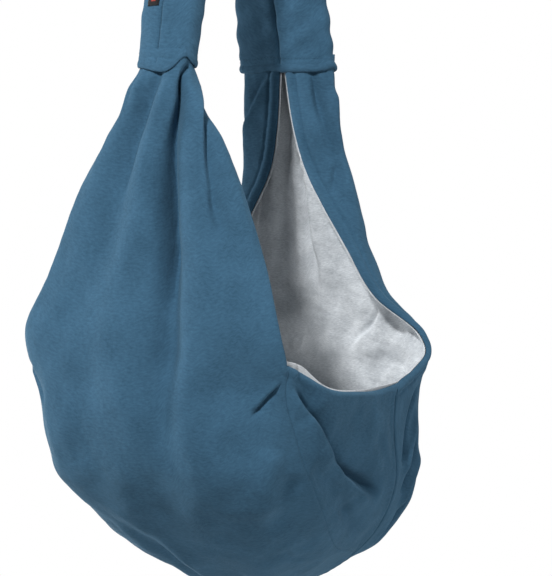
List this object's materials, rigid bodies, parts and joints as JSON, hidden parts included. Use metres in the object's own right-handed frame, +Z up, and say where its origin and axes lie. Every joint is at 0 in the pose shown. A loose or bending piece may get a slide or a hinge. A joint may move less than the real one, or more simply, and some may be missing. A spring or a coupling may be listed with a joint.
{
  "type": "soft sling carrier",
  "caption": "Deep soft sling pouch with a low side mouth, hung at two gathered necks from one wide padded strap loop.",
  "frame": {"origin": "on the underside of the strap's highest point, where it rests on a shoulder or a peg", "axes": "+X across the carrier towards its right side panel, +Y along the strap loop from the near end to the far end, +Z up"},
  "size_m": [0.2818, 0.3495, 0.8503],
  "materials": {
    "petrol_fleece": "matt brushed sweatshirt knit",
    "petrol_hem": "matt brushed sweatshirt knit, turned double",
    "marl_jersey": "matt flecked jersey",
    "fibre_wadding": "loose white fibre",
    "strap_foam": "open-cell foam",
    "label_tape": "satin woven tape"
  },
  "bodies": {
    "strap": {"strap_cover_right": "petrol_fleece", "strap_cover_left": "petrol_fleece", "strap_padding": "strap_foam", "near_cuff": "petrol_hem", "far_cuff": "petrol_hem", "strap_label": "label_tape"},
    "pouch": {"near_gather": "petrol_fleece", "far_gather": "petrol_fleece", "shell_near_end": "petrol_fleece", "shell_far_end": "petrol_fleece", "shell_left_side": "petrol_fleece", "shell_right_side": "petrol_fleece", "wadding_near_end": "fibre_wadding", "wadding_far_end": "fibre_wadding", "wadding_left_side": "fibre_wadding", "wadding_right_side": "fibre_wadding", "lining_near_end": "marl_jersey", "lining_far_end": "marl_jersey", "lining_left_side": "marl_jersey", "lining_right_side": "marl_jersey"}
  },
  "joints": [
    {"name": "pouch_swing", "type": "hinge", "parent": "strap", "child": "pouch", "pos_m": [0, 0, -0.345], "axis": [0, 1, 0], "range_deg": [-50, 50], "deforming": ["near_gather", "far_gather"]}
  ]
}
